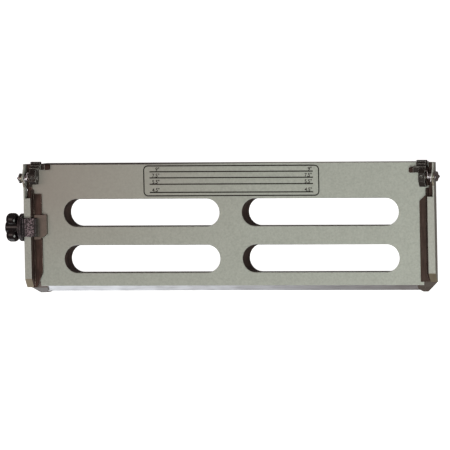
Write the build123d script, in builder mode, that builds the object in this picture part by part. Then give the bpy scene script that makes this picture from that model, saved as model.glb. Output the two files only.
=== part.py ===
from build123d import *
import os
from math import cos, radians, sin, tan

# Slotted copy plate with corner clamps: a die-cast tray lying on its back.
# Origin: centre of the plate's back rest face.  +Z is out of the front face, +Y the clamped edge.
# All sizes are millimetres.

# ---- driving dimensions ------------------------------------------------------------------
overall_width = 358.0        # across the outer faces of the two side rails
face_height = 100.0          # flat front face, clamped edge to the lip
lip = 4.3                    # 45 degree lip along the lower edge
body_depth = 17.3            # back rest plane to front face

# ---- casting -----------------------------------------------------------------------------
skin = 3.0                   # thickness of the front face
wall = 2.5                   # thickness of the skirt
skirt_inset = 12.0           # skirt, behind the outer faces of the rails
corner_round = 3.0           # lower corners of the skirt
flange_inset = 2.6           # flange under the rails, behind their outer faces
edge_round = 0.6
slot_length = 136.3
slot_height = 22.4
slot_pitch_x = 155.8
slot_pitch_y = 37.8
slot_top_drop = 40.3         # clamped edge to the centre line of the upper slots
slot_edge = 0.4              # broken edge round each slot
collar_wall = 2.2
rib = 2.0
rib_depth = 9.0
rest_boss_diameter = 11.0    # rest boss at the origin, between the slots

# ---- side rails --------------------------------------------------------------------------
rail_width = 6.0
rail_height = 5.5
rail_chamfer = 7.2           # length of the slope at the lower end
rail_end_height = 0.6        # what the slope leaves at the very end
rail_end_drop = {"left": 101.2, "right": 97.6}
pocket_length = 28.0
ear = 1.2                    # outer wall left beside the pocket
ear_round = 4.0              # rounded top of the ear, about the pivot
ear_foot = 7.5               # half length of the swelling under it
ear_shoulder = 60.0          # angle at which the swelling meets the arc

# ---- dark angles along the inner faces of the rails --------------------------------------
angle_thickness = 1.6
angle_leg = 8.3              # flat leg, from the rail outward over the face
angle_upright_drop = 21.0    # clamped edge to the top of the upright
angle_leg_drop = {"left": 24.8, "right": 27.0}
angle_end_drop = {"left": 101.2, "right": 97.4}
angle_cut = {"left": 12.2, "right": 4.5}
angle_cut_width = 5.2

# ---- pivots ------------------------------------------------------------------------------
pivot_drop = 11.5            # clamped edge to the pivot
pivot_height = 5.2           # front face to the pivot
pin_diameter = 3.0
running_gap = 0.05           # radial, shaft in hole
bracket_sheet = 0.8
bush_flange = 1.5
bush_flange_diameter = 5.4
bush_wall = 0.9
pin_disc_diameter = 8.2
pin_disc = 1.0
pin_nose = 2.2
pin_nose_diameter = 4.6
pin_nose_tip_diameter = 1.6
washer_diameter = 6.4
washer_thickness = 0.45
end_float = 0.3              # bush to the pin's disc

# ---- torsion springs ---------------------------------------------------------------------
wire = 0.65
coil_radius = 2.6
coil_pitch = 0.71
coil_side_room = 0.2         # coil to the pocket's sides
spring_leg = 4.6
fixed_leg_rise = 4.2         # straight wire between the coil and the fixed leg's first bend
spring_bend = 1.4            # radius of the bends in the fixed leg

# ---- clamp levers ------------------------------------------------------------------------
lever_gap = 0.6              # rail's inner face to the lever
lever_width = 8.3
hub_radius = 4.7
lever_top = 4.0              # pivot to the flat top
lever_reach = 13.4           # pivot to the thumb edge, past the plate's edge
lever_edge_low = -3.4
lever_edge_high = -0.4
lever_slope_start = 3.0
heel_round = 0.9
heel_reach = {"left": 5.2, "right": 8.4}
open_angle = 28.0            # the heel's underside lies along the face at this angle
heel_gap = 0.3
rib_pitch = 2.4
rib_start = 1.9              # thumb edge to the first groove
rib_count = 3
rib_groove = 0.85            # radius of the grooves between the ribs
rib_depth = 0.8
nose_offset = {"left": 8.8, "right": 5.2}
nose_height = 4.4            # along the plate
nose_top = -1.5
nose_low = -4.6
nose_reach = 7.7             # thumb pad's inner side to the end of the rubber
pad_overhang = 2.7           # thumb pad, inside the lever's web
pad_start = 7.2              # pivot to the lower side of the thumb pad
tip_wall = 0.8
tip_round = 1.2
tip_length = 4.2
paper_gap = 0.2              # closed tip to the face
grub_diameter = 2.4
grub_length = 2.0

# ---- corner feet -------------------------------------------------------------------------
foot_inner = 17.8            # rail's outer face to the foot's inner end
foot_skin = 1.4
foot_side_drop = 97.8        # clamped edge to the lower end of the flange
foot_corner = 8.0
foot_inner_corner = 3.6      # cut across the inner end, along the edge
foot_inner_rise = 2.2        # the same cut, up the plate
foot_rise = 1.6              # how far the side wall runs up past that
foot_step = 0.4              # rail's outer face to the foot's
foot_front_drop = 0.2        # face to the foot's front
foot_draft = 21.0            # lean of the outer sides, in towards the back
foot_screw_drop = 1.9        # lower end of the flange to the foot screw

# ---- sliding stop ------------------------------------------------------------------------
stop_drop = 51.8             # clamped edge to the middle of the stop
stop_width = 15.4
slide_gap = 0.3
stop_cap = 2.3               # plate over the rail
stop_cap_round = 0.5
cheek_disc_radius = 11.4
cheek_disc = 2.5
inner_cheek = 3.6
lip_thickness = 2.3
lip_reach = 2.0
lug_length = 20.0
lug_reach = 7.6              # inner cheek to the end of the lug
lug_tongue = 1.7
lug_corner_x = 6.0
lug_corner_y = 4.3
boss_diameter = 8.4
boss = 1.5

# ---- clamp screw -------------------------------------------------------------------------
stud_diameter = 4.0
stud_gap = 0.06
pad_diameter = 5.0
pad = 0.8
pad_travel = 1.05
knob_gap = 0.3
knob_length = 11.3
knob_lobe_radius = 5.4
knob_lobe_offset = 6.4
knob_lobes = 2
knob_core_radius = 4.7
knob_round = 4.0
knob_neck = 0.9
knob_neck_radius = 4.2
stud_seat = 7.0

# ---- fasteners ---------------------------------------------------------------------------
screw_diameter = 2.0
screw_head_diameter = 3.4
screw_head = 1.4
screw_bite = 3.4
driver_slot = 0.6
foot_screw_bite = 3.6
screw_fit = 0.02
rivet_diameter = 1.6
rivet_head_diameter = 2.4
rivet_head = 0.6
rivet_bite = 2.0
rail_screw_inset = 1.7       # rail's inner face to the screws
rivet_margin = 1.5           # bracket rivets, from the sheet's upright and end
rivet_end_drop = 2.6         # clamped edge to the upper bracket rivet
rail_screw_drops = (33.0, 59.0, 85.0)
angle_rivet_drops = (39.0, 65.0, 91.0)
foot_screw_head_diameter = 3.2
foot_screw_head = 1.0
foot_screw_height = 8.0
lug_screw_spacing = 8.0

# ---- places that follow from the sizes above ---------------------------------------------
body_height = face_height + lip
top_y = body_height / 2
face_z = body_depth
face_end_y = top_y - face_height
rail_outer = overall_width / 2
rail_inner = rail_outer - rail_width
rail_top = face_z + rail_height
skirt_x = rail_outer - skirt_inset
flange_x = rail_outer - flange_inset
pivot_y = top_y - pivot_drop
pivot_z = face_z + pivot_height
pocket_end_y = top_y - pocket_length
slot_x = slot_pitch_x / 2
slot_ys = (top_y - slot_top_drop, top_y - slot_top_drop - slot_pitch_y)
lever_outer = rail_inner - lever_gap
lever_inner = lever_outer - lever_width
stop_y = top_y - stop_drop
screw_z = face_z + rail_height / 2
angle_inner = rail_inner - angle_leg
sides = ("left", "right")

os.makedirs("parts", exist_ok=True)


def keep(node, piece):
    """Label one finished piece and write it as a STEP file."""
    piece.part.label = node
    export_step(piece.part, f"parts/{node}.step")


def keep_side(side, node, piece):
    """Write a piece drawn for the right-hand end, or its mirror image for the left."""
    if side == "right":
        keep(f"right_{node}", piece)
        return
    with BuildPart() as mirrored:
        mirror(piece.part, about=Plane.YZ)
    keep(f"left_{node}", mirrored)


# ---- cast tray ---------------------------------------------------------------------------
rail_screw_x = rail_inner + rail_screw_inset
bracket_rivet_x = rail_inner + bracket_sheet + rivet_margin
bracket_rivet_ys = (pocket_end_y + rivet_margin, top_y - rivet_end_drop)
flange_end_y = top_y - foot_side_drop + foot_rise + screw_fit
foot_screw_y = top_y - foot_side_drop - foot_screw_drop
casting_outline = (
    (top_y, 0),
    (top_y, face_z),
    (face_end_y, face_z),
    (-top_y, face_z - lip),
    (-top_y, 0),
)
cavity_outline = (
    (top_y - wall, 0),
    (top_y - wall, face_z - skin),
    (face_end_y, face_z - skin),
    (wall - top_y, face_z - skin - lip + wall),
    (wall - top_y, 0),
)


def slot_places():
    """Centres of the four slots."""
    return [(x, y) for y in slot_ys for x in (-slot_x, slot_x)]


with BuildPart() as base_plate:
    with BuildSketch(Plane.YZ):
        Polygon(*casting_outline, align=None)
    extrude(amount=skirt_x, both=True)
    corner_edges = base_plate.edges().filter_by(Axis.Z).group_by(Axis.Y)
    fillet(corner_edges[-1], edge_round)
    fillet(corner_edges[0], corner_round)
    with BuildSketch(Plane.YZ):
        Polygon(*cavity_outline, align=None)
    extrude(amount=skirt_x - wall, both=True, mode=Mode.SUBTRACT)
    # flanges that carry the rails
    with BuildSketch(Plane.XY.offset(face_z - skin)):
        with Locations((0, (top_y + flange_end_y) / 2)):
            Rectangle(2 * flange_x, top_y - flange_end_y)
    extrude(amount=skin)
    # deep collars round the slots, the rest boss at the origin and the ribs that join them
    with BuildSketch():
        Circle(rest_boss_diameter / 2)
        with Locations(*slot_places()):
            SlotOverall(slot_length + 2 * collar_wall, slot_height + 2 * collar_wall)
    extrude(amount=face_z - skin / 2)
    with BuildSketch(Plane.XY.offset(face_z - skin - rib_depth)):
        Rectangle(rib, body_height - wall)
        with Locations((0, slot_ys[0]), (0, slot_ys[1])):
            Rectangle(2 * skirt_x - wall, rib)
        with Locations((-slot_x, 0), (slot_x, 0)):
            Rectangle(rib, body_height - wall)
    extrude(amount=rib_depth + skin / 2)
    with BuildSketch(Plane.YZ):
        Polygon(*casting_outline, align=None)
    extrude(amount=flange_x, both=True, mode=Mode.INTERSECT)
    with BuildSketch():
        with Locations(*slot_places()):
            SlotOverall(slot_length, slot_height)
    extrude(amount=face_z, mode=Mode.SUBTRACT)
    front = base_plate.faces().sort_by(Axis.Z)[-1]
    chamfer(front.inner_wires().edges(), slot_edge)
    # holes for the rail screws and the bracket rivets
    with BuildSketch(Plane.XY.offset(face_z - skin)):
        with Locations(*[(s * rail_screw_x, top_y - d) for s in (-1, 1) for d in rail_screw_drops]):
            Circle(screw_diameter / 2 + screw_fit)
        with Locations(*[(s * bracket_rivet_x, y) for s in (-1, 1) for y in bracket_rivet_ys]):
            Circle(rivet_diameter / 2 + screw_fit)
    extrude(amount=skin, mode=Mode.SUBTRACT)
    # holes for the foot screws, through the side skirts
    with BuildSketch(Plane.YZ.offset(-skirt_x)):
        with Locations((foot_screw_y, foot_screw_height)):
            Circle(screw_diameter / 2 + screw_fit)
    extrude(amount=2 * skirt_x, mode=Mode.SUBTRACT)
keep("base_plate", base_plate)


# ---- side rails --------------------------------------------------------------------------
def draw_ear():
    """Side view of an ear round the pivot: a swelling that ends in an arc, drawn in the open sketch."""
    shoulder = radians(ear_shoulder)
    Polygon(
        (pivot_y - ear_foot, face_z),
        (pivot_y - ear_foot, rail_top),
        (pivot_y - ear_round * sin(shoulder), pivot_z + ear_round * cos(shoulder)),
        (pivot_y + ear_round * sin(shoulder), pivot_z + ear_round * cos(shoulder)),
        (pivot_y + ear_foot, rail_top),
        (pivot_y + ear_foot, face_z),
        align=None,
    )
    with Locations((pivot_y, pivot_z)):
        Circle(ear_round)


def make_rail(side):
    end_y = top_y - rail_end_drop[side]
    with BuildPart() as rail:
        with BuildSketch(Plane.YZ.offset(rail_inner)):
            Polygon(
                (end_y, face_z),
                (end_y, face_z + rail_end_height),
                (end_y + rail_chamfer, rail_top),
                (top_y, rail_top),
                (top_y, face_z),
                align=None,
            )
        extrude(amount=rail_width)
        fillet(rail.edges().filter_by(Axis.Y).group_by(Axis.Z)[-1], edge_round / 2)
        with BuildSketch(Plane.YZ.offset(rail_outer - ear)):
            draw_ear()
        extrude(amount=ear)
        # open pocket behind the ear
        with BuildSketch(Plane.XY.offset(face_z)):
            with Locations((rail_inner + (rail_width - ear) / 2, (pocket_end_y + top_y) / 2)):
                Rectangle(rail_width - ear, pocket_length)
        extrude(amount=rail_height + ear_round, mode=Mode.SUBTRACT)
        # bush hole in the ear, screw and rivet holes below
        with BuildSketch(Plane.YZ.offset(rail_outer)):
            with Locations((pivot_y, pivot_z)):
                Circle(pin_diameter / 2 + running_gap + bush_wall)
        extrude(amount=-ear, mode=Mode.SUBTRACT)
        with BuildSketch(Plane.XY.offset(face_z)):
            with Locations(*[(rail_screw_x, top_y - d) for d in rail_screw_drops]):
                Circle(screw_diameter / 2 + screw_fit)
        extrude(amount=screw_bite, mode=Mode.SUBTRACT)
        with BuildSketch(Plane.YZ.offset(rail_inner)):
            with Locations(*[(top_y - d, screw_z) for d in angle_rivet_drops]):
                Circle(rivet_diameter / 2 + screw_fit)
        extrude(amount=rivet_bite, mode=Mode.SUBTRACT)
    keep_side(side, "rail", rail)


# ---- dark angles -------------------------------------------------------------------------
def make_angle(side):
    end_y = top_y - angle_end_drop[side]
    leg_y = top_y - angle_leg_drop[side]
    upright_y = top_y - angle_upright_drop
    cut = angle_cut[side]
    # one corner of the flat leg is cut: the lower one on the left, the upper one on the right
    cut_inner = angle_inner + angle_cut_width
    if side == "left":
        leg_outline = (
            (rail_inner, end_y),
            (cut_inner, end_y),
            (angle_inner, end_y + cut),
            (angle_inner, leg_y),
            (rail_inner, leg_y),
        )
    else:
        leg_outline = (
            (rail_inner, end_y),
            (angle_inner, end_y),
            (angle_inner, leg_y - cut),
            (cut_inner, leg_y),
            (rail_inner, leg_y),
        )
    with BuildPart() as angle:
        with BuildSketch(Plane.XY.offset(face_z)):
            Polygon(*leg_outline, align=None)
        extrude(amount=angle_thickness)
        with BuildSketch(Plane.YZ.offset(rail_inner)):
            Polygon(
                (end_y, face_z),
                (end_y, face_z + rail_end_height),
                (end_y + rail_chamfer, rail_top),
                (upright_y, rail_top),
                (upright_y, face_z),
                align=None,
            )
        extrude(amount=-angle_thickness)
        fillet(angle.edges().filter_by(Axis.Y).group_by(Axis.Z)[-1].sort_by(Axis.X)[:1], edge_round)
        with BuildSketch(Plane.YZ.offset(rail_inner)):
            with Locations(*[(top_y - d, screw_z) for d in angle_rivet_drops]):
                Circle(rivet_diameter / 2 + screw_fit)
        extrude(amount=-angle_thickness, mode=Mode.SUBTRACT)
    keep_side(side, "angle", angle)
    with BuildPart() as rivets:
        with BuildSketch(Plane.YZ.offset(rail_inner - angle_thickness)):
            with Locations(*[(top_y - d, screw_z) for d in angle_rivet_drops]):
                Circle(rivet_diameter / 2)
        extrude(amount=angle_thickness + rivet_bite)
    keep_side(side, "angle_rivets", rivets)


# ---- hinge brackets and bushes -----------------------------------------------------------
def make_bracket(side):
    with BuildPart() as bracket:
        with BuildSketch(Plane.XY.offset(face_z)):
            with Locations((rail_inner + (rail_width - ear) / 2, (pocket_end_y + top_y) / 2)):
                Rectangle(rail_width - ear, pocket_length)
        extrude(amount=bracket_sheet)
        with BuildSketch(Plane.YZ.offset(rail_inner)):
            draw_ear()
        extrude(amount=bracket_sheet)
        with BuildSketch(Plane.YZ.offset(rail_inner)):
            with Locations((pivot_y, pivot_z)):
                Circle(pin_diameter / 2 + running_gap)
        extrude(amount=bracket_sheet, mode=Mode.SUBTRACT)
        with BuildSketch(Plane.XY.offset(face_z)):
            with Locations(*[(bracket_rivet_x, y) for y in bracket_rivet_ys]):
                Circle(rivet_diameter / 2 + screw_fit)
        extrude(amount=bracket_sheet, mode=Mode.SUBTRACT)
    keep_side(side, "hinge_bracket", bracket)
    with BuildPart() as rivets:
        for seat, way in ((face_z + bracket_sheet, 1), (face_z - skin, -1)):
            with BuildSketch(Plane.XY.offset(seat)):
                with Locations(*[(bracket_rivet_x, y) for y in bracket_rivet_ys]):
                    Circle(rivet_head_diameter / 2)
            extrude(amount=way * rivet_head)
        with BuildSketch(Plane.XY.offset(face_z - skin)):
            with Locations(*[(bracket_rivet_x, y) for y in bracket_rivet_ys]):
                Circle(rivet_diameter / 2)
        extrude(amount=skin + bracket_sheet)
    keep_side(side, "bracket_rivets", rivets)
    with BuildPart() as bush:
        with BuildSketch(Plane.YZ.offset(rail_outer)):
            with Locations((pivot_y, pivot_z)):
                Circle(bush_flange_diameter / 2)
        extrude(amount=bush_flange)
        with BuildSketch(Plane.YZ.offset(rail_outer)):
            with Locations((pivot_y, pivot_z)):
                Circle(pin_diameter / 2 + running_gap + bush_wall - screw_fit)
        extrude(amount=-ear)
        with BuildSketch(Plane.YZ.offset(rail_outer - ear)):
            with Locations((pivot_y, pivot_z)):
                Circle(pin_diameter / 2 + running_gap)
        extrude(amount=ear + bush_flange, mode=Mode.SUBTRACT)
    keep_side(side, "pivot_bush", bush)


# ---- torsion springs ---------------------------------------------------------------------
def make_spring(side):
    pocket_x = rail_inner + bracket_sheet
    pocket_room = rail_width - ear - bracket_sheet
    coil_turns = int((pocket_room - wire - 2 * coil_side_room) / coil_pitch)
    coil_span = coil_pitch * coil_turns
    start_x = pocket_x + (pocket_room - coil_span) / 2
    end_x = start_x + coil_span
    fixed_leg_x = pocket_x + (end_x - pocket_x) / 2
    floor_z = face_z + bracket_sheet + wire / 2
    leg_end_y = bracket_rivet_ys[0] + rivet_head_diameter / 2 + wire
    # one length of wire: working leg towards the clamped edge, coil, fixed leg down to the pocket floor
    with BuildLine() as path:
        coil = Helix(
            coil_pitch, coil_span, coil_radius, center=(start_x, pivot_y, pivot_z), direction=(1, 0, 0)
        )
        Line(coil @ 0 - (coil % 0) * spring_leg, coil @ 0)
        FilletPolyline(
            coil @ 1,
            coil @ 1 + (coil % 1) * fixed_leg_rise,
            (fixed_leg_x, leg_end_y + spring_leg, floor_z),
            (fixed_leg_x, leg_end_y, floor_z),
            radius=spring_bend,
        )
    spring_path = path.wires()[0]
    with BuildPart() as spring:
        with BuildSketch(Plane(origin=spring_path @ 0, z_dir=spring_path % 0)):
            Circle(wire / 2)
        sweep(path=spring_path)
    keep_side(side, "torsion_spring", spring)


# ---- clamp levers ------------------------------------------------------------------------
def make_lever(side):
    heel = heel_reach[side]
    nose_y = pivot_y + nose_offset[side]
    under = pivot_height - heel_gap
    open_rad = radians(open_angle)
    heel_z = -(under - heel * sin(open_rad)) / cos(open_rad)
    edge_y = pivot_y + lever_reach
    tip_end_x = lever_inner - nose_reach
    web_inner = lever_inner + pad_overhang

    def draw_lever():
        """Side view of the lever, drawn in the open sketch."""
        Polygon(
            (pivot_y - heel, pivot_z + heel_z),
            (pivot_y - under * tan(open_rad / 2), pivot_z - under),
            (pivot_y + lever_slope_start, pivot_z - under),
            (edge_y, pivot_z + lever_edge_low),
            (edge_y, pivot_z + lever_edge_high),
            (pivot_y + lever_slope_start, pivot_z + lever_top),
            (pivot_y - heel / 2, pivot_z + lever_top),
            (pivot_y - heel, pivot_z + lever_top / 3),
            align=None,
        )

    with BuildPart() as lever:
        with BuildSketch(Plane.YZ.offset(web_inner)):
            draw_lever()
        extrude(amount=lever_outer - web_inner)
        heel_edges = lever.edges().filter_by(Axis.X).group_by(Axis.Y)[0]
        fillet(heel_edges, heel_round)
        with BuildSketch(Plane.YZ.offset(lever_inner)):
            draw_lever()
            with Locations((pivot_y + pad_start, pivot_z)):
                Rectangle(
                    4 * lever_reach, 4 * lever_top, align=(Align.MAX, Align.CENTER), mode=Mode.SUBTRACT
                )
        extrude(amount=pad_overhang)
        # ribs across the thumb pad
        slope = Vector(0, lever_slope_start - lever_reach, lever_top - lever_edge_high).normalized()
        for number in range(rib_count):
            groove = Vector(0, edge_y, pivot_z + lever_edge_high) + slope * (rib_start + rib_pitch * number)
            with BuildSketch(Plane.YZ.offset(lever_inner)):
                with Locations((groove.Y, groove.Z + rib_groove - rib_depth)):
                    Circle(rib_groove)
            extrude(amount=lever_width, mode=Mode.SUBTRACT)
        # nose, stepped down for the rubber tip
        nose_middle = pivot_z + (nose_top + nose_low) / 2
        with BuildSketch(Plane.YZ.offset(web_inner)):
            with Locations((nose_y, nose_middle)):
                Rectangle(nose_height, nose_top - nose_low)
        extrude(amount=-(web_inner - tip_end_x - tip_length))
        with BuildSketch(Plane.YZ.offset(tip_end_x + tip_length)):
            with Locations((nose_y, nose_middle)):
                Rectangle(nose_height - 2 * tip_wall, nose_top - nose_low - 2 * tip_wall)
        extrude(amount=tip_wall - tip_length)
        # pivot hole and the grub screw's hole
        with BuildSketch(Plane.YZ.offset(web_inner)):
            with Locations((pivot_y, pivot_z)):
                Circle(pin_diameter / 2 + screw_fit)
        extrude(amount=lever_outer - web_inner, mode=Mode.SUBTRACT)
        with BuildSketch(Plane.XY.offset(pivot_z)):
            with Locations(((web_inner + lever_outer) / 2, pivot_y)):
                Circle(grub_diameter / 2 + screw_fit)
        extrude(amount=lever_top, mode=Mode.SUBTRACT)
    keep_side(side, "clamp_lever", lever)

    with BuildPart() as tip:
        low = paper_gap - pivot_height
        with BuildSketch(Plane.YZ.offset(tip_end_x)):
            with Locations((nose_y, pivot_z + (nose_top + low) / 2)):
                RectangleRounded(nose_height, nose_top - low, tip_round)
        extrude(amount=tip_length)
        fillet(tip.faces().sort_by(Axis.X)[0].edges(), tip_round)
        with BuildSketch(Plane.YZ.offset(tip_end_x + tip_wall)):
            with Locations((nose_y, nose_middle)):
                Rectangle(nose_height - 2 * tip_wall, nose_top - nose_low - 2 * tip_wall)
        extrude(amount=tip_length, mode=Mode.SUBTRACT)
    keep_side(side, "lever_tip", tip)

    with BuildPart() as grub:
        with BuildSketch(Plane.XY.offset(pivot_z + pin_diameter / 2)):
            with Locations(((web_inner + lever_outer) / 2, pivot_y)):
                Circle(grub_diameter / 2)
        extrude(amount=grub_length)
        with BuildSketch(Plane.XY.offset(pivot_z + pin_diameter / 2 + grub_length)):
            with Locations(((web_inner + lever_outer) / 2, pivot_y)):
                RegularPolygon(grub_diameter / 4, 6)
        extrude(amount=-grub_length / 2, mode=Mode.SUBTRACT)
    keep_side(side, "grub_screw", grub)

    # pivot pin: shank, disc outside the rail and a coned nose on the disc
    disc_x = rail_outer + bush_flange + end_float
    with BuildPart() as pin:
        with BuildSketch(Plane.XY):
            Polygon(
                (web_inner, 0),
                (web_inner, pin_diameter / 2),
                (disc_x, pin_diameter / 2),
                (disc_x, pin_disc_diameter / 2),
                (disc_x + pin_disc, pin_disc_diameter / 2),
                (disc_x + pin_disc, pin_nose_diameter / 2),
                (disc_x + pin_disc + pin_nose, pin_nose_tip_diameter / 2),
                (disc_x + pin_disc + pin_nose, 0),
                align=None,
            )
        revolve(axis=Axis.X)
    with BuildPart() as placed_pin:
        add(pin.part.moved(Location((0, pivot_y, pivot_z))))
    keep_side(side, "pivot_pin", placed_pin)

    with BuildPart() as washer:
        with BuildSketch(Plane.YZ.offset(lever_outer)):
            with Locations((pivot_y, pivot_z)):
                Circle(washer_diameter / 2)
                Circle(pin_diameter / 2 + screw_fit, mode=Mode.SUBTRACT)
        extrude(amount=washer_thickness)
    keep_side(side, "pivot_washer", washer)


# ---- corner feet -------------------------------------------------------------------------
def make_foot(side):
    inner_x = rail_outer - foot_inner
    outer_x = rail_outer - foot_step
    low_y = -top_y - foot_skin
    high_y = top_y - foot_side_drop + foot_rise
    front_z = face_z - foot_front_drop
    with BuildPart() as foot:
        with BuildSketch():
            Polygon(
                (inner_x, face_end_y),
                (inner_x, low_y + foot_inner_rise),
                (inner_x + foot_inner_corner, low_y),
                (outer_x - foot_corner, low_y),
                (outer_x, low_y + foot_corner),
                (outer_x, high_y),
                (skirt_x, high_y),
                (skirt_x, face_end_y),
                align=None,
            )
        extrude(amount=front_z)
        # 45 degree front slope that follows the lip
        with BuildSketch(Plane.YZ.offset(inner_x)):
            Polygon(
                (low_y, front_z - lip),
                (low_y + lip, front_z),
                (low_y, front_z),
                align=None,
            )
        extrude(amount=foot_inner, mode=Mode.SUBTRACT)
        # room for the casting
        with BuildSketch(Plane.YZ.offset(inner_x)):
            Polygon(*casting_outline, align=None)
        extrude(amount=skirt_x - inner_x, mode=Mode.SUBTRACT)
        # outer sides lean in towards the back
        with BuildSketch(Plane.XY.offset(front_z)):
            Polygon(
                (outer_x - foot_corner, low_y),
                (outer_x, low_y + foot_corner),
                (outer_x, high_y),
                (outer_x + foot_inner, high_y),
                (outer_x + foot_inner, low_y - foot_corner),
                (outer_x - foot_corner, low_y - foot_corner),
                align=None,
            )
        extrude(amount=2 * front_z, dir=(-tan(radians(foot_draft)), 0, -1), mode=Mode.SUBTRACT)
        with BuildSketch(Plane.YZ.offset(skirt_x)):
            with Locations((foot_screw_y, foot_screw_height)):
                Circle(screw_diameter / 2 + screw_fit)
        extrude(amount=foot_screw_bite, mode=Mode.SUBTRACT)
    keep_side(side, "foot", foot)


with BuildPart() as foot_screws:
    head_x = skirt_x - wall - foot_screw_head
    with BuildSketch(Plane.YZ.offset(head_x)):
        with Locations((foot_screw_y, foot_screw_height)):
            Circle(foot_screw_head_diameter / 2)
    extrude(amount=foot_screw_head)
    with BuildSketch(Plane.YZ.offset(skirt_x - wall)):
        with Locations((foot_screw_y, foot_screw_height)):
            Circle(screw_diameter / 2)
    extrude(amount=wall + foot_screw_bite)
    with BuildSketch(Plane.YZ.offset(head_x)):
        with Locations((foot_screw_y, foot_screw_height)):
            Rectangle(foot_screw_head_diameter, driver_slot)
    extrude(amount=foot_screw_head / 2, mode=Mode.SUBTRACT)
    mirror(foot_screws.part, about=Plane.YZ)
keep("foot_screws", foot_screws)

with BuildPart() as rail_screws:
    places = [(s * rail_screw_x, top_y - d) for s in (-1, 1) for d in rail_screw_drops]
    with BuildSketch(Plane.XY.offset(face_z - skin - screw_head)):
        with Locations(*places):
            Circle(screw_head_diameter / 2)
    extrude(amount=screw_head)
    with BuildSketch(Plane.XY.offset(face_z - skin)):
        with Locations(*places):
            Circle(screw_diameter / 2)
    extrude(amount=skin + screw_bite)
    with BuildSketch(Plane.XY.offset(face_z - skin - screw_head)):
        with Locations(*places):
            Rectangle(screw_head_diameter, driver_slot)
    extrude(amount=screw_head / 2, mode=Mode.SUBTRACT)
keep("rail_screws", rail_screws)

for side in sides:
    make_rail(side)
    make_angle(side)
    make_bracket(side)
    make_spring(side)
    make_lever(side)
    make_foot(side)

# ---- sliding stop on the left rail -------------------------------------------------------
cheek_x = -rail_outer - slide_gap
cap_z = rail_top + slide_gap
upright_x = -(rail_inner - angle_thickness - slide_gap)
inner_cheek_x = upright_x + inner_cheek
tongue_z = face_z + angle_thickness + slide_gap
lug_x = -(angle_inner - slide_gap)
lug_end_x = inner_cheek_x + lug_reach
lug_top = tongue_z + lug_tongue
lug_screw_x = (upright_x + inner_cheek_x) / 2
lug_screw_places = [(lug_screw_x, stop_y + s * lug_screw_spacing / 2) for s in (-1, 1)]
pad_seat = pad + pad_travel + running_gap


def box_between(low, high):
    """A block given by two opposite corners."""
    low, high = Vector(*low), Vector(*high)
    size = high - low
    with Locations((low + high) * 0.5):
        Box(abs(size.X), abs(size.Y), abs(size.Z))


with BuildPart() as stop_block:
    stop_low = stop_y - stop_width / 2
    stop_high = stop_y + stop_width / 2
    box_between((cheek_x - cheek_disc, stop_low, cap_z), (inner_cheek_x, stop_high, cap_z + stop_cap))
    box_between((upright_x, stop_low, lug_top), (inner_cheek_x, stop_high, cap_z))
    fillet(stop_block.edges().filter_by(Axis.Z), edge_round)
    fillet(stop_block.faces().sort_by(Axis.Z)[-1].edges(), stop_cap_round)
    with BuildSketch(Plane.YZ.offset(cheek_x - cheek_disc)):
        with Locations((stop_y, screw_z)):
            Circle(cheek_disc_radius)
    extrude(amount=cheek_disc)
    box_between(
        (cheek_x, stop_low, face_z - slide_gap - lip_thickness),
        (cheek_x + lip_reach + slide_gap, stop_high, face_z - slide_gap),
    )
    with BuildSketch(Plane.YZ.offset(cheek_x - cheek_disc)):
        with Locations((stop_y, screw_z)):
            Circle(boss_diameter / 2)
    extrude(amount=-boss)
    # the stud's thread and the pad's seat
    with BuildSketch(Plane.YZ.offset(cheek_x - cheek_disc - boss)):
        with Locations((stop_y, screw_z)):
            Circle(stud_diameter / 2 + stud_gap)
    extrude(amount=cheek_disc + boss, mode=Mode.SUBTRACT)
    with BuildSketch(Plane.YZ.offset(cheek_x)):
        with Locations((stop_y, screw_z)):
            Circle(pad_diameter / 2 + slide_gap)
    extrude(amount=-pad_seat, mode=Mode.SUBTRACT)
    with BuildSketch(Plane.XY.offset(lug_top)):
        with Locations(*lug_screw_places):
            Circle(screw_diameter / 2 + screw_fit)
    extrude(amount=screw_bite, mode=Mode.SUBTRACT)
keep("stop_block", stop_block)

with BuildPart() as stop_lug:
    lug_low = stop_y - lug_length / 2
    lug_high = stop_y + lug_length / 2
    with BuildSketch(Plane.XY.offset(face_z + slide_gap)):
        Polygon(
            (upright_x, lug_low),
            (lug_end_x - lug_corner_x, lug_low),
            (lug_end_x, lug_low + lug_corner_y),
            (lug_end_x, lug_high),
            (upright_x, lug_high),
            align=None,
        )
    extrude(amount=lug_top - face_z - slide_gap)
    with BuildSketch(Plane.XY.offset(face_z)):
        with Locations(((upright_x + lug_x) / 2, stop_y)):
            Rectangle(lug_x - upright_x, lug_length)
    extrude(amount=tongue_z - face_z, mode=Mode.SUBTRACT)
    with BuildSketch(Plane.XY.offset(tongue_z)):
        with Locations(*lug_screw_places):
            Circle(screw_diameter / 2 + screw_fit)
    extrude(amount=lug_tongue, mode=Mode.SUBTRACT)
    with BuildSketch(Plane.XY.offset(tongue_z)):
        with Locations(*lug_screw_places):
            Circle(foot_screw_head_diameter / 2 + screw_fit)
    extrude(amount=foot_screw_head, mode=Mode.SUBTRACT)
keep("stop_lug", stop_lug)

with BuildPart() as lug_screws:
    with BuildSketch(Plane.XY.offset(tongue_z)):
        with Locations(*lug_screw_places):
            Circle(foot_screw_head_diameter / 2)
    extrude(amount=foot_screw_head)
    with BuildSketch(Plane.XY.offset(tongue_z)):
        with Locations(*lug_screw_places):
            Circle(screw_diameter / 2)
    extrude(amount=lug_tongue + screw_bite)
keep("lug_screws", lug_screws)

# ---- clamp screw: pad, stud and knob -----------------------------------------------------
pad_face_x = -rail_outer - running_gap
stud_end_x = pad_face_x - pad
boss_end_x = cheek_x - cheek_disc - boss
knob_x = boss_end_x - knob_gap

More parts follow.
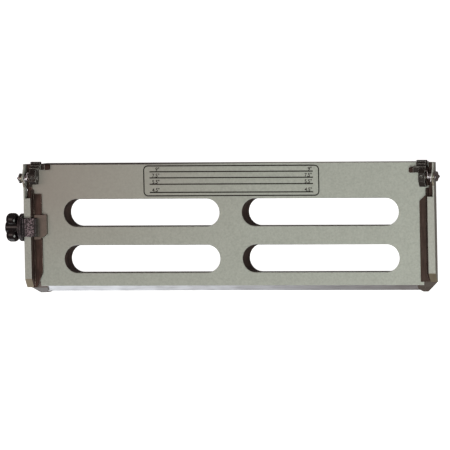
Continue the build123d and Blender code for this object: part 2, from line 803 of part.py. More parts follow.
with BuildPart() as pressure_pad:
    with BuildSketch(Plane.YZ.offset(pad_face_x)):
        with Locations((stop_y, screw_z)):
            Circle(pad_diameter / 2)
    extrude(amount=-pad)
keep("pressure_pad", pressure_pad)

with BuildPart() as knob_stud:
    with BuildSketch(Plane.YZ.offset(stud_end_x - running_gap)):
        with Locations((stop_y, screw_z)):
            Circle(stud_diameter / 2)
    extrude(amount=-(stud_end_x - running_gap - knob_x + stud_seat))
keep("knob_stud", knob_stud)

with BuildPart() as lobe:
    Cylinder(knob_lobe_radius, knob_length - knob_neck, rotation=(0, 90, 0))
    fillet(lobe.edges(), knob_round)

with BuildPart() as wing_knob:
    body_x = knob_x - knob_neck - (knob_length - knob_neck) / 2
    for number in range(knob_lobes):
        angle_at = radians(360 / knob_lobes * number)
        place = (
            body_x,
            stop_y + knob_lobe_offset * cos(angle_at),
            screw_z + knob_lobe_offset * sin(angle_at),
        )
        with Locations(place):
            add(lobe.part)
    with Locations((body_x, stop_y, screw_z)):
        Cylinder(knob_core_radius, knob_length - knob_neck, rotation=(0, 90, 0))
    with BuildSketch(Plane.YZ.offset(knob_x)):
        with Locations((stop_y, screw_z)):
            Circle(knob_neck_radius)
    extrude(amount=-2 * knob_neck)
    with BuildSketch(Plane.YZ.offset(knob_x)):
        with Locations((stop_y, screw_z)):
            Circle(stud_diameter / 2 + screw_fit)
    extrude(amount=-stud_seat, mode=Mode.SUBTRACT)
keep("wing_knob", wing_knob)
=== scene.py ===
from math import cos, pi, radians, sin

import bmesh
import bpy
from mathutils import Matrix, Vector


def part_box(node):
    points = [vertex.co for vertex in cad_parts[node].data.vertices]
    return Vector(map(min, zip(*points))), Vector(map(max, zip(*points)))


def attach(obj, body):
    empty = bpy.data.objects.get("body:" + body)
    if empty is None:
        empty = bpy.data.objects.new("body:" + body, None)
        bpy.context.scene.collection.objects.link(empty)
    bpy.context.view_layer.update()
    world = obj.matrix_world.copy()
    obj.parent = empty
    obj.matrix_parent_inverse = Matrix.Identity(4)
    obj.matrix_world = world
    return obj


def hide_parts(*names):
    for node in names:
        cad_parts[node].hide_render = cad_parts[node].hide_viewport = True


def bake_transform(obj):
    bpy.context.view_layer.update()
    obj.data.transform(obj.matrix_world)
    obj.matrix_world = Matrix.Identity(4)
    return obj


# Looks for the slotted copy plate.  Every length is in metres, in the row's own frame:
# +X along the plate, +Y towards the clamped edge, +Z out of the front face.

MM = 0.001

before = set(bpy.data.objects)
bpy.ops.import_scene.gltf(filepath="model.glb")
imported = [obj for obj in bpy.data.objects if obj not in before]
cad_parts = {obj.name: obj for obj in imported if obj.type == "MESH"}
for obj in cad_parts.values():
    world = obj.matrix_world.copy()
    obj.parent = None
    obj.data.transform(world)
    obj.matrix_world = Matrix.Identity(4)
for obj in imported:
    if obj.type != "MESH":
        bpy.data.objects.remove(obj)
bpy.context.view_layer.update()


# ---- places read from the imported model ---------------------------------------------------
plate_low, plate_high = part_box("base_plate")
face_z = plate_high.z
clamped_edge = plate_high.y
stop_inner_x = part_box("stop_block")[1].x
SIDES = {"left": -1, "right": 1}

FAR = 1.0                       # beyond every edge of the object
LIP_METAL = (0.74, 0.75, 0.78)
# dark brown: the slot walls, partly painted shade, and painted shade along the top edge
SLOT_WALL = (0.030, 0.020, 0.018)
SLOT_MARGIN = 14.0 * MM         # slots' band, inside the casting's upper and lower edges
UPPER_LEFT_SHADE = (0.345, 0.300, 0.275)    # painted shade: the face warmer and darker towards the upper left corner
SHADE_END_X, SHADE_START_Y = -70.0 * MM, -5.0 * MM
RIM = 0.8 * MM                  # painted shade: dark strip along the top edge of the face
TOP_SHADE_END = -20.0 * MM          # painted shade darkens the top edge up to here and fades beyond
LIT_PEAK_BAND = (10.2 * MM, 1.9 * MM)         # outer and inner edge of the band with painted highlight on the crinkle's tops
RAIL_END = (0.32, 0.27, 0.20)
FOLD_START, FOLD_END = 5.2 * MM, 5.6 * MM   # top edge of the dark angles, above the face
slots_low, slots_high = plate_low.y + SLOT_MARGIN, clamped_edge - 28.0 * MM


# ---- materials ---------------------------------------------------------------------------
class Finish:
    """A material under construction: a principled shader with procedural colour, gloss and relief."""

    def __init__(self, name, colour, roughness, metallic=0.0, specular=0.5, coat=0.0):
        self.material = bpy.data.materials.new(name)
        self.material.use_nodes = True
        self.material.diffuse_color = (*colour, 1)
        self.tree = self.material.node_tree
        self.shader = self.tree.nodes["Principled BSDF"]
        self.shader.inputs["Base Color"].default_value = (*colour, 1)
        self.shader.inputs["Roughness"].default_value = roughness
        self.shader.inputs["Metallic"].default_value = metallic
        self.shader.inputs["Specular IOR Level"].default_value = specular
        self.shader.inputs["Coat Weight"].default_value = coat
        self.place = self.node("ShaderNodeTexCoord").outputs["Object"]
        self.colour = None
        self.base = colour
        self.normal = None

    def node(self, kind, **values):
        made = self.tree.nodes.new(kind)
        for key, value in values.items():
            setattr(made, key, value)
        return made

    def link(self, source, target):
        self.tree.links.new(source, target)

    def noise(self, size, detail=3.0, stretch=(1, 1, 1), rough=0.55):
        """A noise whose features are about size metres across, longer along the stretched axes."""
        mapping = self.node("ShaderNodeMapping")
        mapping.inputs["Scale"].default_value = [1 / s for s in stretch]
        self.link(self.place, mapping.inputs["Vector"])
        texture = self.node("ShaderNodeTexNoise")
        texture.inputs["Scale"].default_value = 1 / size
        texture.inputs["Detail"].default_value = detail
        texture.inputs["Roughness"].default_value = rough
        self.link(mapping.outputs["Vector"], texture.inputs["Vector"])
        return texture.outputs["Fac"]

    def cells(self, size, smooth=0.6):
        """Rounded cells about size metres across."""
        texture = self.node("ShaderNodeTexVoronoi", feature="SMOOTH_F1")
        texture.inputs["Scale"].default_value = 1 / size
        texture.inputs["Smoothness"].default_value = smooth
        self.link(self.place, texture.inputs["Vector"])
        return texture.outputs["Distance"]

    def ramp(self, source, low, high, out_low=0.0, out_high=1.0):
        made = self.node("ShaderNodeMapRange")
        made.inputs["From Min"].default_value = low
        made.inputs["From Max"].default_value = high
        made.inputs["To Min"].default_value = out_low
        made.inputs["To Max"].default_value = out_high
        self.link(source, made.inputs["Value"])
        return made.outputs["Result"]

    def product(self, first, second):
        made = self.node("ShaderNodeMath", operation="MULTIPLY")
        self.link(first, made.inputs[0])
        self.link(second, made.inputs[1])
        return made.outputs[0]

    def tint(self, mask, colour):
        """Lay a colour over what is there, where the mask is 1."""
        made = self.node("ShaderNodeMix", data_type="RGBA")
        if self.colour is None:
            made.inputs[6].default_value = (*self.base, 1)
        else:
            self.link(self.colour, made.inputs[6])
        made.inputs[7].default_value = (*colour, 1)
        self.link(mask, made.inputs[0])
        self.colour = made.outputs[2]
        self.link(self.colour, self.shader.inputs["Base Color"])

    def gloss(self, source, low, high):
        """Roughness that runs from low to high over the middle of a noise."""
        self.link(self.ramp(source, 0.3, 0.7, low, high), self.shader.inputs["Roughness"])

    def relief(self, height, depth):
        """Relief of a real depth in metres, on top of what is there."""
        made = self.node("ShaderNodeBump")
        made.inputs["Strength"].default_value = 1.0
        made.inputs["Distance"].default_value = depth
        self.link(height, made.inputs["Height"])
        if self.normal is not None:
            self.link(self.normal, made.inputs["Normal"])
        self.normal = made.outputs["Normal"]
        self.link(self.normal, self.shader.inputs["Normal"])

    def soft_edges(self, radius):
        """Edges broken by a small radius.  Returns a mask that is 1 on them."""
        bevel = self.node("ShaderNodeBevel", samples=6)
        bevel.inputs["Radius"].default_value = radius
        true = self.node("ShaderNodeNewGeometry").outputs["Normal"]
        turn = self.node("ShaderNodeVectorMath", operation="DOT_PRODUCT")
        self.link(bevel.outputs["Normal"], turn.inputs[0])
        self.link(true, turn.inputs[1])
        self.normal = bevel.outputs["Normal"]
        self.link(self.normal, self.shader.inputs["Normal"])
        return self.ramp(turn.outputs["Value"], 0.99, 0.86)

    def facing(self, direction, low, high):
        """1 where the surface faces a direction of the row's frame, 0 where it turns away."""
        turn = self.node("ShaderNodeVectorMath", operation="DOT_PRODUCT")
        spin = self.node("ShaderNodeVectorTransform", vector_type="NORMAL")
        spin.convert_from, spin.convert_to = "WORLD", "OBJECT"
        self.link(self.node("ShaderNodeNewGeometry").outputs["True Normal"], spin.inputs[0])
        self.link(spin.outputs[0], turn.inputs[0])
        turn.inputs[1].default_value = Vector(direction).normalized()
        return self.ramp(turn.outputs["Value"], low, high)

    def between(self, axis, low, high, soft):
        """1 where a place's coordinate lies between two values, in metres."""
        split = self.node("ShaderNodeSeparateXYZ")
        self.link(self.place, split.inputs[0])
        above = self.ramp(split.outputs[axis], low - soft, low + soft)
        below = self.ramp(split.outputs[axis], high + soft, high - soft)
        return self.product(above, below)

    def crevices(self, reach):
        """1 in grooves and corners within reach metres."""
        occlusion = self.node("ShaderNodeAmbientOcclusion", samples=8)
        occlusion.inputs["Distance"].default_value = reach
        return self.ramp(occlusion.outputs["AO"], 0.75, 0.25)

    def vary(self, socket, mask, low, high):
        """Run a shader value from low to high with a mask."""
        self.link(self.ramp(mask, 0, 1, low, high), self.shader.inputs[socket])


def shade(colour, share):
    return tuple(channel * share for channel in colour)


def satin_paint(name, colour, wear_and_highlight, trim=None):
    """Satin enamel on a casting: slow mottling, fine dust, orange peel, edges lighter, partly wear and
    partly painted highlight.
    """
    made = Finish(name, colour, 0.42)
    edge = made.soft_edges(0.30 * MM)
    slow = made.noise(38 * MM, 2.0)
    made.tint(made.ramp(slow, 0.35, 0.7, 0.0, 0.45), shade(colour, 0.9))
    dust = made.noise(1.5 * MM, 2.0)
    made.tint(made.ramp(dust, 0.50, 0.72, 0.0, 0.55), shade(colour, 0.74))
    made.tint(made.ramp(dust, 0.48, 0.30, 0.0, 0.35), shade(colour, 1.25))
    # edges lighter in patches: partly wear, partly painted highlight
    wear_and_highlight_noise = made.ramp(made.noise(4 * MM, 4.0), 0.45, 0.62, 0.0, 0.8)
    made.tint(made.product(edge, wear_and_highlight_noise), wear_and_highlight)
    made.gloss(made.noise(9 * MM, 3.0), 0.36, 0.5)
    made.relief(made.noise(0.9 * MM, 2.0), 0.012 * MM)
    if trim:
        trim(made)
    return made.material


def plate_trim(made):
    """Bare milled lip; painted shade over the upper left corner and along the top edge; dark walls inside
    the slots, partly unpainted metal and partly painted shade, with lighter streaks.
    """
    lip = made.facing((0, -1, 1), 0.96, 0.99)
    mill = made.noise(0.5 * MM, 3.0, stretch=(30, 1, 1))
    made.tint(lip, LIP_METAL)
    made.tint(made.product(lip, made.ramp(mill, 0.5, 0.7)), shade(LIP_METAL, 0.7))
    made.vary("Metallic", lip, 0.0, 1.0)
    # painted shade, warm and darker, over the upper left corner of the face
    upper_left_shade = made.product(
        made.between("X", -FAR, SHADE_END_X, 90 * MM), made.between("Y", SHADE_START_Y, FAR, 30 * MM)
    )
    made.tint(made.ramp(upper_left_shade, 0, 1, 0.0, 0.75), UPPER_LEFT_SHADE)
    # painted shade along the top edge and the top wall of the plate, at the left
    top_shade = made.between("X", -FAR, TOP_SHADE_END, 60 * MM)
    rim = made.between("Y", clamped_edge - RIM, FAR, 0.1 * MM)
    for edge in (made.facing((0, 1, 0), 0.6, 0.8), rim):
        made.tint(made.product(edge, top_shade), SLOT_WALL)
    # walls inside the slots darkened, partly unpainted metal and partly painted shade, with lighter streaks
    # over them
    upright = made.facing((0, 0, 1), 0.55, 0.35)
    walls = made.product(upright, made.between("Y", slots_low, slots_high, 1 * MM))
    made.tint(walls, SLOT_WALL)
    wall_streaks = made.noise(3.0 * MM, 3.0, stretch=(1, 5, 1))
    made.tint(made.product(walls, made.ramp(wall_streaks, 0.40, 0.66, 0.0, 0.8)), shade(SLOT_WALL, 3.4))
    made.vary("Specular IOR Level", walls, 0.5, 0.1)


def rail_trim(made):
    """The sloping lower end of a rail is cut back to bare metal."""
    slope = made.facing((0, -0.56, 0.83), 0.95, 0.985)
    made.tint(slope, RAIL_END)
    made.vary("Metallic", slope, 0.0, 0.8)


def oxide_steel(name, colour, wear_and_highlight, roughness):
    """Bronze-black steel: drawn along the strip, lighter on its edges (partly wear, partly painted
    highlight), black along the top edge of the upright leg.
    """
    made = Finish(name, colour, roughness, metallic=0.75)
    edge = made.soft_edges(0.22 * MM)
    drawn = made.noise(0.45 * MM, 3.0, stretch=(1, 40, 1))
    made.tint(made.ramp(drawn, 0.42, 0.66, 0.0, 0.7), shade(colour, 2.2))
    handled = made.noise(7 * MM, 4.0)
    made.tint(made.ramp(handled, 0.5, 0.72, 0.0, 0.5), shade(colour, 0.5))
    # black along the top edge of the upright leg
    black_top_edge = made.between("Z", face_z + FOLD_START, face_z + FOLD_END, 0.3 * MM)
    made.tint(black_top_edge, shade(colour, 0.15))
    # edges lighter: partly wear, partly painted highlight
    made.tint(made.product(edge, made.ramp(drawn, 0.35, 0.6, 0.0, 0.8)), wear_and_highlight)
    made.gloss(handled, roughness - 0.08, roughness + 0.12)
    made.relief(drawn, 0.006 * MM)
    return made.material


def cast_iron(name, colour, wear_and_highlight):
    """A small painted casting: edges lighter, partly wear and partly painted highlight, and painted shade
    darkening its grooves.
    """
    made = Finish(name, colour, 0.4, metallic=0.35)
    edge = made.soft_edges(0.32 * MM)
    grain = made.noise(0.7 * MM, 4.0)
    made.tint(made.ramp(grain, 0.45, 0.7, 0.0, 0.6), shade(colour, 1.6))
    # painted shade darkening the grooves and corners
    made.tint(made.crevices(1.4 * MM), shade(colour, 0.08))
    # edges lighter: partly wear, partly painted highlight
    made.tint(made.product(edge, made.ramp(made.noise(2 * MM, 3.0), 0.3, 0.5, 0.4, 1.0)), wear_and_highlight)
    made.gloss(grain, 0.3, 0.48)
    made.relief(grain, 0.03 * MM)
    return made.material


def crinkle_paint(name, colour, peak_highlight):
    """Wrinkle-finish paint: a net of small rounded ridges whose tops catch the light, also painted lighter
    as painted highlight.
    """
    made = Finish(name, colour, 0.36, specular=0.6)
    edge = made.soft_edges(0.35 * MM)
    ridges = made.cells(1.15 * MM)
    fine = made.noise(0.6 * MM, 4.0)
    # painted highlight on the ridge tops
    made.tint(made.ramp(ridges, 0.42, 0.66, 0.0, 0.9), peak_highlight)
    # no painted highlight outside the band: painted shade under the knob on the outer part, and none near
    # the inner edge
    made.tint(made.between("X", -FAR, stop_inner_x - LIT_PEAK_BAND[0], 0.2 * MM), colour)
    made.tint(made.between("X", stop_inner_x - LIT_PEAK_BAND[1], FAR, 0.2 * MM), colour)
    # painted highlight along the edges
    made.tint(made.product(edge, made.ramp(made.cells(1.3 * MM), 0.35, 0.6)), shade(peak_highlight, 1.9))
    made.gloss(fine, 0.3, 0.5)
    made.relief(ridges, 0.3 * MM)
    made.relief(fine, 0.06 * MM)
    return made.material


def machined_steel(name, colour, roughness, grain_size, depth, stretch=(1, 1, 1)):
    """Bare or plated metal with fine tool marks and a little tarnish."""
    made = Finish(name, colour, roughness, metallic=1.0)
    made.soft_edges(0.12 * MM)
    marks = made.noise(grain_size, 3.0, stretch=stretch)
    made.tint(made.ramp(marks, 0.45, 0.7, 0.0, 0.5), shade(colour, 0.72))
    tarnish = made.noise(2.5 * MM, 4.0)
    made.tint(made.ramp(tarnish, 0.5, 0.75, 0.0, 0.4), shade(colour, 0.55))
    made.gloss(marks, max(0.05, roughness - 0.06), roughness + 0.08)
    made.relief(marks, depth)
    return made.material


def moulded_plastic(name, colour, roughness, texture_depth, coat=0.0):
    """A moulding with a faint skin texture and softened edges, painted lighter as painted highlight."""
    made = Finish(name, colour, roughness, coat=coat)
    edge = made.soft_edges(0.3 * MM)
    skin = made.noise(0.5 * MM, 3.0)
    made.tint(made.ramp(skin, 0.5, 0.72, 0.0, 0.5), tuple(0.004 + 1.25 * c for c in colour))
    # painted highlight: edges lighter
    made.tint(edge, shade(colour, 1.5))
    made.gloss(made.noise(3 * MM, 3.0), max(0.06, roughness - 0.05), roughness + 0.07)
    made.relief(skin, texture_depth)
    return made.material


def rubber(name, colour):
    made = Finish(name, colour, 0.7, specular=0.3)
    made.soft_edges(0.2 * MM)
    bloom = made.noise(1.6 * MM, 4.0)
    made.tint(made.ramp(bloom, 0.45, 0.7, 0.0, 0.5), tuple(0.006 + 1.4 * c for c in colour))
    made.relief(made.noise(0.3 * MM, 3.0), 0.02 * MM)
    return made.material


def ink_paint(name, colour):
    """Screen-printed ink: thin, matt and slightly broken."""
    made = Finish(name, colour, 0.6, specular=0.3)
    made.tint(made.ramp(made.noise(0.4 * MM, 3.0), 0.5, 0.7, 0.0, 0.3), (0.07, 0.06, 0.055))
    return made.material


FINISHES = {
    "plate_paint": satin_paint("plate_paint", (0.42, 0.435, 0.40), (0.62, 0.63, 0.60), plate_trim),
    "rail_paint": satin_paint("rail_paint", (0.42, 0.42, 0.39), (0.85, 0.85, 0.82), rail_trim),
    "bronze_steel": oxide_steel("bronze_steel", (0.050, 0.032, 0.027), (0.56, 0.46, 0.40), 0.34),
    "lever_iron": cast_iron("lever_iron", (0.022, 0.016, 0.014), (0.90, 0.87, 0.84)),
    "tip_rubber": rubber("tip_rubber", (0.034, 0.015, 0.012)),
    "pin_chrome": machined_steel("pin_chrome", (0.42, 0.41, 0.42), 0.16, 0.25 * MM, 0.002 * MM),
    "bush_brass": machined_steel("bush_brass", (0.58, 0.53, 0.44), 0.26, 0.3 * MM, 0.004 * MM),
    "spring_steel": machined_steel("spring_steel", (0.66, 0.62, 0.66), 0.2, 0.2 * MM, 0.003 * MM),
    "fastener_steel": machined_steel("fastener_steel", (0.56, 0.56, 0.55), 0.3, 0.3 * MM, 0.004 * MM),
    "foot_plastic": moulded_plastic("foot_plastic", (0.090, 0.072, 0.066), 0.22, 0.02 * MM, coat=1.0),
    "crinkle_black": crinkle_paint("crinkle_black", (0.010, 0.006, 0.008), (0.26, 0.19, 0.22)),
    "bare_lug": machined_steel(
        "bare_lug", (0.21, 0.185, 0.165), 0.42, 0.35 * MM, 0.012 * MM, stretch=(1, 12, 1)
    ),
    "knob_plastic": moulded_plastic("knob_plastic", (0.005, 0.003, 0.004), 0.16, 0.004 * MM, coat=0.3),
}
INK = ink_paint("scale_ink", (0.012, 0.009, 0.008))

NODE_SLOTS = {
    "base_plate": "plate_paint",
    "rail": "rail_paint",
    "angle": "bronze_steel",
    "hinge_bracket": "bronze_steel",
    "clamp_lever": "lever_iron",
    "grub_screw": "lever_iron",
    "bracket_rivets": "bronze_steel",
    "angle_rivets": "bronze_steel",
    "lever_tip": "tip_rubber",
    "pivot_pin": "pin_chrome",
    "pivot_bush": "bush_brass",
    "torsion_spring": "spring_steel",
    "foot": "foot_plastic",
    "stop_block": "crinkle_black",
    "stop_lug": "bare_lug",
    "wing_knob": "knob_plastic",
}


def node_slot(node):
    plain = node.removeprefix("left_").removeprefix("right_")
    return NODE_SLOTS.get(plain, "fastener_steel")


for node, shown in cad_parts.items():
    for place in shown.material_slots:
        place.material = FINISHES[node_slot(node)]


# ---- mesh helpers ------------------------------------------------------------------------
def new_piece(name, mesh, finish, body=None):
    """Put a finished mesh in the scene with its material, body and material slot."""
    piece = bpy.data.objects.new(name, mesh)
    bpy.context.scene.collection.objects.link(piece)
    mesh.materials.clear()
    mesh.materials.append(finish)
    if body:
        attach(piece, body)
    return piece


def mesh_from(bm, name, smooth=False):
    mesh = bpy.data.meshes.new(name)
    bmesh.ops.recalc_face_normals(bm, faces=bm.faces)
    for face in bm.faces:
        face.smooth = smooth
    bm.to_mesh(mesh)
    bm.free()
    return mesh


def ring_prism(bm, outer, inner, low, high):
    """A closed band between two loops of the same count, from low to high."""
    loops = [
        [bm.verts.new((x, y, z)) for x, y in loop]
        for loop, z in ((outer, high), (inner, high), (inner, low), (outer, low))
    ]
    count = len(outer)
    for first, second in zip(loops, loops[1:] + loops[:1]):
        for at in range(count):
            after = (at + 1) % count
            bm.faces.new((first[at], first[after], second[after], second[at]))


def box_prism(bm, x_low, x_high, y_low, y_high, low, high):
    corners = ((x_low, y_low), (x_high, y_low), (x_high, y_high), (x_low, y_high))
    tops = [bm.verts.new((x, y, high)) for x, y in corners]
    bottoms = [bm.verts.new((x, y, low)) for x, y in corners]
    bm.faces.new(tops)
    bm.faces.new(bottoms[::-1])
    for at in range(4):
        after = (at + 1) % 4
        bm.faces.new((tops[at], bottoms[at], bottoms[after], tops[after]))


def rounded_loop(centre_x, centre_y, half_x, half_y, radius, steps=8):
    """Points of a rounded rectangle."""
    points = []
    for quarter, (sx, sy) in enumerate(((1, 1), (-1, 1), (-1, -1), (1, -1))):
        for step in range(steps + 1):
            turn = (quarter + step / steps) * pi / 2
            points.append(
                (
                    centre_x + sx * (half_x - radius) + radius * cos(turn),
                    centre_y + sy * (half_y - radius) + radius * sin(turn),
                )
            )
    return points


# ---- printed size scale ------------------------------------------------------------------
INK_THICK = 0.03 * MM
SCALE_X = 1.1 * MM             # middle of the scale
FRAME_LENGTH = 153.4 * MM
FRAME_TOP = 1.6 * MM            # clamped edge to the frame
FRAME_LOW = 27.1 * MM
FRAME_ROUND = 4.0 * MM
FRAME_LINE = 1.0 * MM
LINE_LENGTH = 142.4 * MM
LINE_WIDTH = 1.0 * MM
LINE_DROPS = (6.9 * MM, 11.9 * MM, 17.1 * MM, 23.8 * MM)
LINE_FIGURES = ('9"', '7.5"', '5.5"', '4.5"')
FIGURE_HEIGHT = 3.0 * MM
FIGURE_SHARE = 0.72             # height of a figure as a share of the font's size
FIGURE_RIGHT_ENDS = (-61.4 * MM, 71.5 * MM)
FIGURE_BOLD = 0.08 * MM         # how much each stroke is thickened on each side
FIGURE_RISE = 0.55 * MM         # line to the foot of the figures above it

frame_y = clamped_edge - (FRAME_TOP + FRAME_LOW) / 2
frame_half = (FRAME_LOW - FRAME_TOP) / 2
ink_low, ink_high = face_z, face_z + INK_THICK

bm = bmesh.new()
ring_prism(
    bm,
    rounded_loop(SCALE_X, frame_y, FRAME_LENGTH / 2, frame_half, FRAME_ROUND),
    rounded_loop(
        SCALE_X,
        frame_y,
        FRAME_LENGTH / 2 - FRAME_LINE,
        frame_half - FRAME_LINE,
        FRAME_ROUND - FRAME_LINE,
    ),
    ink_low,
    ink_high,
)
new_piece("scale_frame", mesh_from(bm, "scale_frame"), INK, "base")

bm = bmesh.new()
for drop in LINE_DROPS:
    line_y = clamped_edge - drop
    box_prism(
        bm,
        SCALE_X - LINE_LENGTH / 2,
        SCALE_X + LINE_LENGTH / 2,
        line_y - LINE_WIDTH / 2,
        line_y + LINE_WIDTH / 2,
        ink_low,
        ink_high,
    )
new_piece("scale_lines", mesh_from(bm, "scale_lines"), INK, "base")


def figure_mesh(text, right_x, foot_y):
    """One printed figure, its right end at right_x and its foot at foot_y."""
    curve = bpy.data.curves.new("figure", "FONT")
    curve.body = text
    curve.align_x = "RIGHT"
    curve.size = FIGURE_HEIGHT / FIGURE_SHARE
    curve.extrude = INK_THICK / 2
    curve.offset = FIGURE_BOLD
    holder = bpy.data.objects.new("figure", curve)
    bpy.context.scene.collection.objects.link(holder)
    bpy.context.view_layer.update()
    mesh = bpy.data.meshes.new_from_object(holder.evaluated_get(bpy.context.evaluated_depsgraph_get()))
    mesh.transform(Matrix.Translation((right_x, foot_y, face_z + INK_THICK / 2)))
    bpy.data.objects.remove(holder)
    return mesh


bm = bmesh.new()
for drop, text in zip(LINE_DROPS, LINE_FIGURES):
    for right_x in FIGURE_RIGHT_ENDS:
        made = figure_mesh(text, right_x, clamped_edge - drop + FIGURE_RISE)
        bm.from_mesh(made)
        bpy.data.meshes.remove(made)
new_piece("scale_figures", mesh_from(bm, "scale_figures"), INK, "base")


# ---- torsion springs ---------------------------------------------------------------------
WIRE = 0.65 * MM
COIL_TURNS = 4
COIL_STEPS = 28                 # points in one turn
HOOK_RUN = 4.7 * MM             # coil to the hook, towards the clamped edge
HOOK_DEPTH = 1.2 * MM           # hook's end inside the lever
BEND = 0.9 * MM                 # radius of the bends in the wire
WIRE_SIDES = 12
TAIL_INSET = 0.8 * WIRE         # the fixed leg's middle, in from the coil's outer face
TAIL_START = 4.2 * MM           # pivot to the bend where the fixed leg turns down
TAIL_FOOT = 4.6 * MM            # its length on the pocket's floor


def bend_corners(points, radius, steps=6):
    """The same route with each corner rounded."""
    route = [points[0]]
    for before, corner, after in zip(points, points[1:], points[2:]):
        back, ahead = before - corner, after - corner
        reach = min(radius, back.length * 0.45, ahead.length * 0.45)
        start, end = corner + back.normalized() * reach, corner + ahead.normalized() * reach
        for step in range(steps + 1):
            t = step / steps
            route.append(start * (1 - t) ** 2 + corner * 2 * t * (1 - t) + end * t * t)
    return route + [points[-1]]


def wire_mesh(route, radius, name):
    """A round closed wire along a route, its section carried along without twist."""
    bm = bmesh.new()
    ahead = [(b - a).normalized() for a, b in zip(route, route[1:])]
    tangents = [ahead[0]] + [(a + b).normalized() for a, b in zip(ahead, ahead[1:])] + [ahead[-1]]
    across = tangents[0].orthogonal().normalized()
    rings = []
    for point, tangent in zip(route, tangents):
        across = (across - tangent * across.dot(tangent)).normalized()
        other = tangent.cross(across)
        rings.append(
            [
                bm.verts.new(point + (across * cos(turn) + other * sin(turn)) * radius)
                for turn in (2 * pi * side / WIRE_SIDES for side in range(WIRE_SIDES))
            ]
        )
    for first, second in zip(rings, rings[1:]):
        for at in range(WIRE_SIDES):
            after = (at + 1) % WIRE_SIDES
            bm.faces.new((first[at], first[after], second[after], second[at]))
    bm.faces.new(rings[0][::-1])
    bm.faces.new(rings[-1])
    return mesh_from(bm, name, smooth=True)


def spring_route(side, hand):
    """Hook in the lever, working leg, coil about the pivot, fixed leg on the pocket floor; drawn for +X."""
    pin_low, pin_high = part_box(f"{side}_pivot_pin")
    coil_low, coil_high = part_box(f"{side}_torsion_spring")
    lever_low, lever_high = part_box(f"{side}_clamp_lever")
    pivot_y, pivot_z = (pin_low.y + pin_high.y) / 2, (pin_low.z + pin_high.z) / 2
    radius = coil_high.z - pivot_z - WIRE / 2
    inner_x = min(abs(coil_low.x), abs(coil_high.x)) + WIRE
    outer_x = max(abs(coil_low.x), abs(coil_high.x)) - TAIL_INSET
    lever_x = max(abs(lever_low.x), abs(lever_high.x))
    top_z = pivot_z + radius
    lead = [
        Vector((lever_x - HOOK_DEPTH, pivot_y + HOOK_RUN, top_z)),
        Vector((inner_x, pivot_y + HOOK_RUN, top_z)),
        Vector((inner_x, pivot_y + HOOK_RUN * 0.3, top_z)),
    ]
    coil = []
    steps = COIL_TURNS * COIL_STEPS
    for step in range(steps + 1):
        turn = 2 * pi * COIL_TURNS * step / steps
        coil.append(
            Vector(
                (
                    inner_x + (outer_x - inner_x) * step / steps,
                    pivot_y - radius * sin(turn),
                    pivot_z + radius * cos(turn),
                )
            )
        )
    floor_z = coil_low.z + WIRE / 2
    tail = [
        Vector((outer_x, pivot_y - TAIL_START, top_z)),
        Vector((outer_x, coil_low.y + TAIL_FOOT, floor_z)),
        Vector((outer_x, coil_low.y, floor_z)),
    ]
    tail.insert(0, coil[-1] + (tail[0] - coil[-1]) * 0.3)
    route = bend_corners(lead, BEND) + coil + bend_corners(tail, BEND)
    return [Vector((hand * p.x, p.y, p.z)) for p in route], hand * inner_x, hand * outer_x


for side, hand in SIDES.items():
    route, inner_x, outer_x = spring_route(side, hand)
    spring = new_piece(
        f"{side}_spring_wire",
        wire_mesh(route, WIRE / 2, f"{side}_spring_wire"),
        FINISHES["spring_steel"],
    )
    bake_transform(spring)
    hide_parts(f"{side}_torsion_spring")


# ---- floor, lights and camera ------------------------------------------------------------
def plain_floor():
    """A pale floor that stays even and doesn't light the object from behind."""
    bm = bmesh.new()
    box_prism(bm, -FLOOR_HALF, FLOOR_HALF, -FLOOR_HALF, FLOOR_HALF, FLOOR_LOW, FLOOR_TOP)
    mesh = mesh_from(bm, "floor")
    paint = bpy.data.materials.new("floor")
    paint.use_nodes = True
    shader = paint.node_tree.nodes["Principled BSDF"]
    shader.inputs["Base Color"].default_value = (0.5, 0.5, 0.5, 1)
    shader.inputs["Roughness"].default_value = 1.0
    shader.inputs["Emission Color"].default_value = (1, 1, 1, 1)
    shader.inputs["Emission Strength"].default_value = FLOOR_GLOW
    floor = bpy.data.objects.new("floor", mesh)
    mesh.materials.append(paint)
    bpy.context.scene.collection.objects.link(floor)
    floor.visible_diffuse = False
    floor.visible_glossy = False


def softbox(name, place, aim, width, height, power, colour=(1, 1, 1)):
    light = bpy.data.lights.new(name, "AREA")
    light.shape = "RECTANGLE"
    light.size, light.size_y = width, height
    light.energy = power
    light.color = colour
    holder = bpy.data.objects.new(name, light)
    holder.location = place
    holder.rotation_mode = "QUATERNION"
    holder.rotation_quaternion = (Vector(aim) - Vector(place)).to_track_quat("-Z", "Y")
    holder.visible_camera = False
    bpy.context.scene.collection.objects.link(holder)


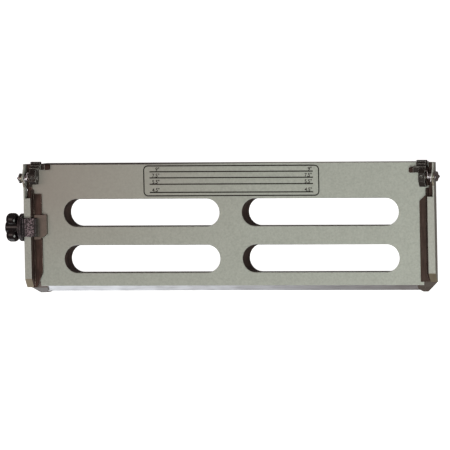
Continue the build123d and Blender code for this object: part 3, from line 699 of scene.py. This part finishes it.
FLOOR_HALF = 6.0
FLOOR_LOW, FLOOR_TOP = -0.05, -0.0003   # the top is just clear of the feet
FLOOR_GLOW = 1.0
plain_floor()

softbox("key", (0.28, -0.26, 0.74), (0.06, -0.04, 0), 0.60, 0.55, 5.3, (0.94, 1.0, 0.93))
softbox("lip_strip", (-0.36, -0.46, 0.02), (-0.16, -0.05, 0.01), 0.46, 0.34, 0.62, (0.93, 0.97, 1.0))
softbox("fill", (-0.6, 0.1, 0.8), (0, 0, 0), 0.5, 0.5, 0.9, (1.0, 0.80, 0.74))

world = bpy.data.worlds.new("studio")
world.use_nodes = True
sky = world.node_tree.nodes["Background"]
sky.inputs["Color"].default_value = (0.88, 0.72, 0.66, 1)
sky.inputs["Strength"].default_value = 0.17
bpy.context.scene.world = world

TILT_ACROSS = radians(20.6)     # camera, from the face's normal towards +X
TILT_UP = radians(2.6)          # and towards +Y
ROLL = radians(1.12)
VIEW_WIDTH = 367.4 * MM         # width of the picture at the object
LENS, SENSOR = 1400.0, 36.0     # in mm: a very long lens, since the view is close to parallel
CLIP = (0.1, 40.0)
AIM = Vector((-5.0 * MM, 1.5 * MM, 17.3 * MM))

away = Vector((sin(TILT_ACROSS), cos(TILT_ACROSS) * sin(TILT_UP), cos(TILT_ACROSS) * cos(TILT_UP)))
camera_data = bpy.data.cameras.new("camera")
camera_data.lens, camera_data.sensor_width = LENS, SENSOR
camera = bpy.data.objects.new("camera", camera_data)
distance = VIEW_WIDTH * LENS / SENSOR
right = Vector((0, 1, 0)).cross(away).normalized()
up = away.cross(right)
turned_right = right * cos(ROLL) - up * sin(ROLL)
turned_up = up * cos(ROLL) + right * sin(ROLL)
camera.matrix_world = Matrix(
    (
        (turned_right.x, turned_up.x, away.x, AIM.x + away.x * distance),
        (turned_right.y, turned_up.y, away.y, AIM.y + away.y * distance),
        (turned_right.z, turned_up.z, away.z, AIM.z + away.z * distance),
        (0, 0, 0, 1),
    )
)
camera_data.clip_start, camera_data.clip_end = CLIP
bpy.context.scene.collection.objects.link(camera)
bpy.context.scene.camera = camera
bpy.context.scene.view_settings.view_transform = "Standard"
